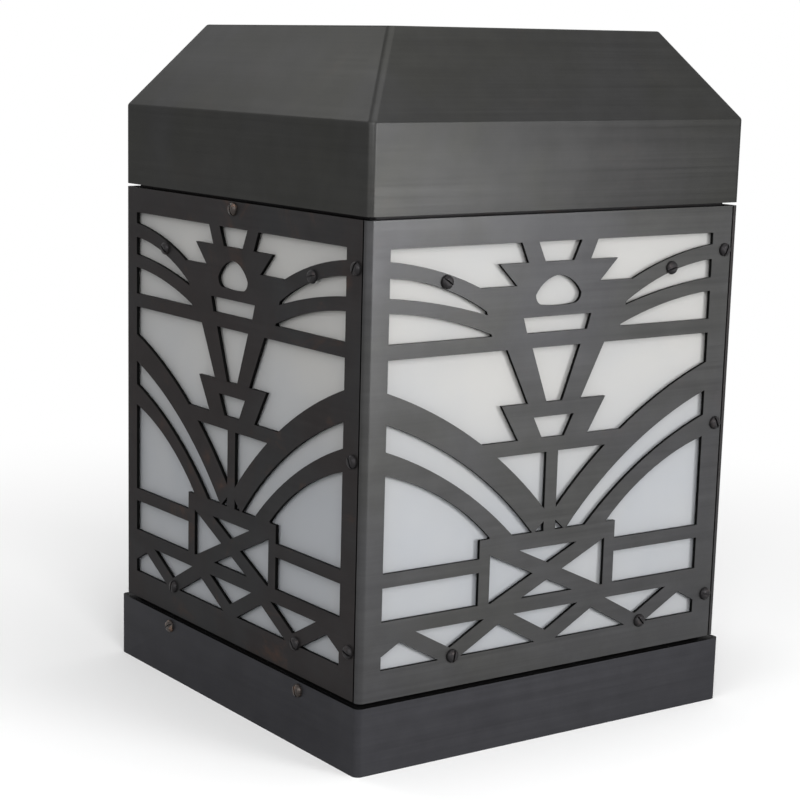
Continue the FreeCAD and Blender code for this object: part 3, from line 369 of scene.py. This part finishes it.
# Two close tones mottled together, with the roughness and a fine bump from the same noise.
def mottledFinish(name, kind):
    material, tree, shader = newMaterial(name)
    level = objectSpace(tree, -900, 100, (1, 1, 1), shift=(len(name), 0, 0))
    fineScale = kind["scale"] * finishSet["fineTimes"]
    mottle = noiseAt(tree, level, -650, 200, kind["scale"], detail=4.0, rough=0.6, warp=0.3)
    fine = noiseAt(tree, level, -650, -100, fineScale, detail=3.0, rough=0.6)
    amount = remap(tree, mottle, -400, 200, *kind["edge"])
    tone = blendColour(tree, amount, kind["first"], kind["second"], -100, 200)
    link(tree, tone, shader.inputs["Base Color"])
    rough = remap(tree, fine, -100, -50, *finishSet["fineLevels"], *kind["rough"])
    link(tree, rough, shader.inputs["Roughness"])
    shader.inputs["Metallic"].default_value = kind["metal"]
    shader.inputs["Specular IOR Level"].default_value = kind.get("shine", finishSet["specular"])
    bump = addNode(tree, "ShaderNodeBump", 500, -250)
    bump.inputs["Strength"].default_value = finishSet["bump"]
    bump.inputs["Distance"].default_value = kind["bump"]
    link(tree, fine, bump.inputs["Height"])
    link(tree, bump.outputs["Normal"], shader.inputs["Normal"])
    return material


finishes = {name: mottledFinish(name, kind) for name, kind in finishKinds.items()}
finishes["opalAcrylic"] = opalSheet()
finishes["lampOpal"] = finishes["lampPlastic"].copy()       # the globe's own, like its housing's
finishes["lampOpal"].name = "lampOpal"
finishes.update(patinas)
print("finishes made:", len(finishes))

nodeFinish = {
    "front_panel": "patinaFront", "left_panel": "patinaLeftPaintedShade", "back_panel": "patinaBack",
    "right_panel": "patinaRight", "lid_shell": "patinaLid", "base_skirt": "patinaBase",
    # the inside pieces take the near-black patina, painted shade for the gaps between the parts
    "lid_collar": "patinaInsidePaintedShade", "top_ring": "patinaInsidePaintedShade", "bottom_ring": "patinaInsidePaintedShade",
    "floor_pan": "patinaInsidePaintedShade", "post_plate": "patinaInsidePaintedShade",
    "corner_angle_front_left": "patinaInsidePaintedShade", "corner_angle_left_back": "patinaInsidePaintedShade",
    "corner_angle_back_right": "patinaInsidePaintedShade", "corner_angle_right_front": "patinaInsidePaintedShade",
    "front_lens": "opalAcrylic", "left_lens": "opalAcrylic",
    "back_lens": "opalAcrylic", "right_lens": "opalAcrylic",
    "base_screws": "wornBronze", "lens_screws": "darkBronze",
    "corner_screws": "darkBronze", "lid_screws": "wornBronze",
    "lens_spacers": "zincPlate", "lens_washers": "zincPlate", "lens_nuts": "zincPlate",
    "foot_screws": "zincPlate", "foot_nuts": "zincPlate", "top_ring_screws": "zincPlate",
    "lid_spacers": "zincPlate", "lid_nuts": "zincPlate", "bracket_screws": "zincPlate",
    "holder_screws": "zincPlate", "clamp_screws": "zincPlate", "block_screws": "zincPlate",
    "lamp_bracket": "zincPlate", "lamp_holder": "glazedPorcelain",
    "screw_shell": "brightBrass", "centre_contact": "brightBrass", "earth_terminal": "brightBrass",
    "earth_screw": "brightBrass", "bulb_contact": "brightBrass", "bulb_cap": "nickelCap",
    "bulb_insulator": "blackGlass", "bulb_housing": "lampPlastic", "bulb_globe": "lampOpal",
    "light_board": "boardWhite", "wire_grommet": "grommetRubber", "terminal_block": "blockPlastic",
    "live_lead": "leadBlack", "neutral_lead": "leadWhite", "earth_lead": "leadGreen",
}


def giveFinish(piece, finish):
    piece.data.materials.clear()
    piece.data.materials.append(finishes[finish])


for name, piece in cadNodes.items():
    giveFinish(piece, nodeFinish[name])


easeSet = {
    "edge": 0.00022,            # width of the eased edge
    "steps": 2,
    "sharp": math.radians(35),
    "merge": 2e-6,              # corners closer than this are one
    "flat": math.radians(0.4),  # faces closer in angle than this are joined
    "levelAbove": 0.9,          # a normal with more than this of Z belongs to a level face
    "acrossBelow": 0.5,         # a normal with less than this of the sheet's own lies across it
    "rimBelow": 0.250,          # level faces of skirt and lid under this height are rims, painted near black as shade
    "bendWidth": 0.0032,
}
# the new piece, and the way the sheet faces where its cut edges are painted near black as shade
easedSheets = {
    "front_panel": ("frontPanelSheet", (0, -1)), "left_panel": ("leftPanelSheet", (-1, 0)),
    "back_panel": ("backPanelSheet", (0, 1)), "right_panel": ("rightPanelSheet", (1, 0)),
    "base_skirt": ("baseSkirtSheet", None), "lid_shell": ("lidSheet", None),
}


# Marks the narrow faces across the sheet: level ones everywhere, and on a panel every face
# that looks along the sheet, save the round of its bent edge. These get a near-black finish, painted
# shade for the shadow at the cut edges and in the gaps.
def cutEdges(mesh, faces):
    normals = np.empty(len(mesh.polygons) * 3, dtype=np.float32)
    centres = np.empty(len(mesh.polygons) * 3, dtype=np.float32)
    mesh.polygons.foreach_get("normal", normals)
    mesh.polygons.foreach_get("center", centres)
    normals, centres = normals.reshape(-1, 3), centres.reshape(-1, 3)
    isLevel = np.abs(normals[:, 2]) > easeSet["levelAbove"]
    if faces is None:
        return (isLevel & (centres[:, 2] < easeSet["rimBelow"])).astype(np.int32)
    outward = normals[:, :2] @ np.array(faces)
    sideways = centres[:, :2] @ np.array((-faces[1], faces[0]))
    bent = sideways < sideways.min() + easeSet["bendWidth"]
    isAcross = np.abs(outward) < easeSet["acrossBelow"]
    return (isAcross & (~bent | isLevel)).astype(np.int32)


# The node's own mesh, merged and its flat faces joined, with its sharp edges eased.
def easedCopy(name, pieceName, faces):
    shape = bmesh.new()
    shape.from_mesh(cadNodes[name].data)
    bmesh.ops.remove_doubles(shape, verts=shape.verts, dist=easeSet["merge"])
    bmesh.ops.dissolve_limit(
        shape, angle_limit=easeSet["flat"], use_dissolve_boundaries=False,
        verts=shape.verts, edges=shape.edges, delimit={"NORMAL"},
    )
    mesh = bpy.data.meshes.new(pieceName)
    shape.to_mesh(mesh)
    shape.free()
    piece = bpy.data.objects.new(pieceName, mesh)
    bpy.context.scene.collection.objects.link(piece)
    mesh.shade_smooth()
    ease = piece.modifiers.new("easedEdges", "BEVEL")
    ease.width = easeSet["edge"]
    ease.segments = easeSet["steps"]
    ease.limit_method = "ANGLE"
    ease.angle_limit = easeSet["sharp"]
    ease.harden_normals = True
    mesh.set_sharp_from_angle(angle=easeSet["sharp"])
    giveFinish(piece, nodeFinish[name])
    # the cut edges get the near-black finish, painted shade
    mesh.materials.append(finishes["patinaEdgePaintedShade"])
    mesh.polygons.foreach_set("material_index", cutEdges(mesh, faces))
    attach(piece, cadNodes[name]["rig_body"])
    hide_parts(name)


for name, (pieceName, faces) in easedSheets.items():
    easedCopy(name, pieceName, faces)
print("sheets eased")


stageSet = {
    "floorHalf": 14.0,          # half the floor's side, in metres
    "floorRough": 0.9,
    "nearColour": (0.97, 0.97, 0.97),
    "bounceColour": (0.30, 0.30, 0.30),
    "plainFrom": 0.16,          # metres from the middle where the floor turns to plain white
    "plainTo": 0.60,
    "worldFill": 0.22,
}


# 1 for the rays of the camera, of gloss and of glass; 0 for the light that bounces.
def seenRays(tree, x, y):
    path = addNode(tree, "ShaderNodeLightPath", x, y)
    camera, gloss = path.outputs["Is Camera Ray"], path.outputs["Is Glossy Ray"]
    some = maths(tree, "MAXIMUM", camera, gloss, x + 200, y)
    return maths(tree, "MAXIMUM", some, path.outputs["Is Transmission Ray"], x + 400, y)


def makeFloor():
    half = stageSet["floorHalf"]
    corners = [(-half, -half, 0), (half, -half, 0), (half, half, 0), (-half, half, 0)]
    mesh = bpy.data.meshes.new("floor")
    mesh.from_pydata(corners, [], [(0, 1, 2, 3)])
    floor = bpy.data.objects.new("floor", mesh)
    bpy.context.scene.collection.objects.link(floor)
    material, tree, shader = newMaterial("palePaper")
    seen = seenRays(tree, -900, 400)
    tone = blendColour(tree, seen, stageSet["bounceColour"], stageSet["nearColour"], -100, 300)
    link(tree, tone, shader.inputs["Base Color"])
    shader.inputs["Roughness"].default_value = stageSet["floorRough"]
    shader.inputs["Specular IOR Level"].default_value = 0.0
    coords = addNode(tree, "ShaderNodeTexCoord", -900, -200)
    away = addNode(tree, "ShaderNodeVectorMath", -700, -200, operation="LENGTH")
    link(tree, coords.outputs["Object"], away.inputs[0])
    far = remap(tree, away.outputs["Value"], -500, -200, stageSet["plainFrom"], stageSet["plainTo"])
    plain = maths(tree, "MULTIPLY", far, seen, -250, -100)
    white = addNode(tree, "ShaderNodeEmission", 600, -300)
    mix = addNode(tree, "ShaderNodeMixShader", 1100, -100)
    link(tree, plain, mix.inputs["Fac"])
    link(tree, shader.outputs[0], mix.inputs[1])
    link(tree, white.outputs[0], mix.inputs[2])
    link(tree, mix.outputs[0], tree.nodes["Material Output"].inputs["Surface"])
    mesh.materials.append(material)


def makeWorld():
    world = bpy.data.worlds.new("paleRoom")
    bpy.context.scene.world = world
    world.use_nodes = True
    tree = world.node_tree
    background = tree.nodes["Background"]
    seen = seenRays(tree, -900, 200)
    fill = stageSet["worldFill"]
    tone = blendColour(tree, seen, (fill, fill, fill), (1.0, 1.0, 1.0), -200, 100)
    link(tree, tone, background.inputs["Color"])


# place and aim in metres, size of the soft face, power in watts
lampSet = {
    "keyLamp": {"place": (0.46, -1.20, 0.24), "aim": (0.0, 0.0, 0.16), "size": 0.46, "power": 10.8},
    "fillLamp": {"place": (-0.75, -1.35, 0.90), "aim": (0.0, 0.0, 0.15), "size": 1.00, "power": 19.0},
    "topLamp": {"place": (0.20, -0.10, 1.70), "aim": (0.0, 0.0, 0.20), "size": 1.30, "power": 12.0},
    "sideLamp": {"place": (-1.60, -0.50, 0.70), "aim": (0.0, 0.0, 0.14), "size": 1.10, "power": 10.0},
    "backLamp": {"place": (-0.45, 1.10, 1.15), "aim": (0.0, 0.0, 0.22), "size": 0.40, "power": 2.5},
}


def aimAt(place, target):
    return (Vector(target) - Vector(place)).to_track_quat("-Z", "Y").to_matrix().to_4x4()


def makeLamp(name, lamp):
    data = bpy.data.lights.new(name, "AREA")
    data.shape = "SQUARE"
    data.size = lamp["size"]
    data.energy = lamp["power"]
    piece = bpy.data.objects.new(name, data)
    bpy.context.scene.collection.objects.link(piece)
    piece.matrix_world = Matrix.Translation(lamp["place"]) @ aimAt(lamp["place"], lamp["aim"])


# place and clip in metres, lens and sensor in millimetres
cameraSet = {
    "place": (-0.53048, -0.71487, 0.28748),
    "forward": (0.5381, 0.8188, -0.2000),
    "right": (0.8374, -0.5463, 0.0163),
    "lens": 89.97,
    "sensor": 36.0,
    "shift": (0.1197, 0.0598),
    "clip": (0.02, 60.0),
}


def makeCamera():
    data = bpy.data.cameras.new("studioCamera")
    data.lens = cameraSet["lens"]
    data.sensor_width = cameraSet["sensor"]
    data.shift_x, data.shift_y = cameraSet["shift"]
    data.clip_start, data.clip_end = cameraSet["clip"]
    forward = Vector(cameraSet["forward"]).normalized()
    right = Vector(cameraSet["right"])
    right = (right - forward * right.dot(forward)).normalized()
    up = right.cross(forward)
    turn = Matrix((right, up, -forward)).transposed().to_4x4()
    piece = bpy.data.objects.new("studioCamera", data)
    bpy.context.scene.collection.objects.link(piece)
    piece.matrix_world = Matrix.Translation(cameraSet["place"]) @ turn
    bpy.context.scene.camera = piece


makeFloor()
makeWorld()
for name, lamp in lampSet.items():
    makeLamp(name, lamp)
makeCamera()
bpy.context.scene.view_settings.view_transform = "Standard"
print("stage, lamps and camera set")
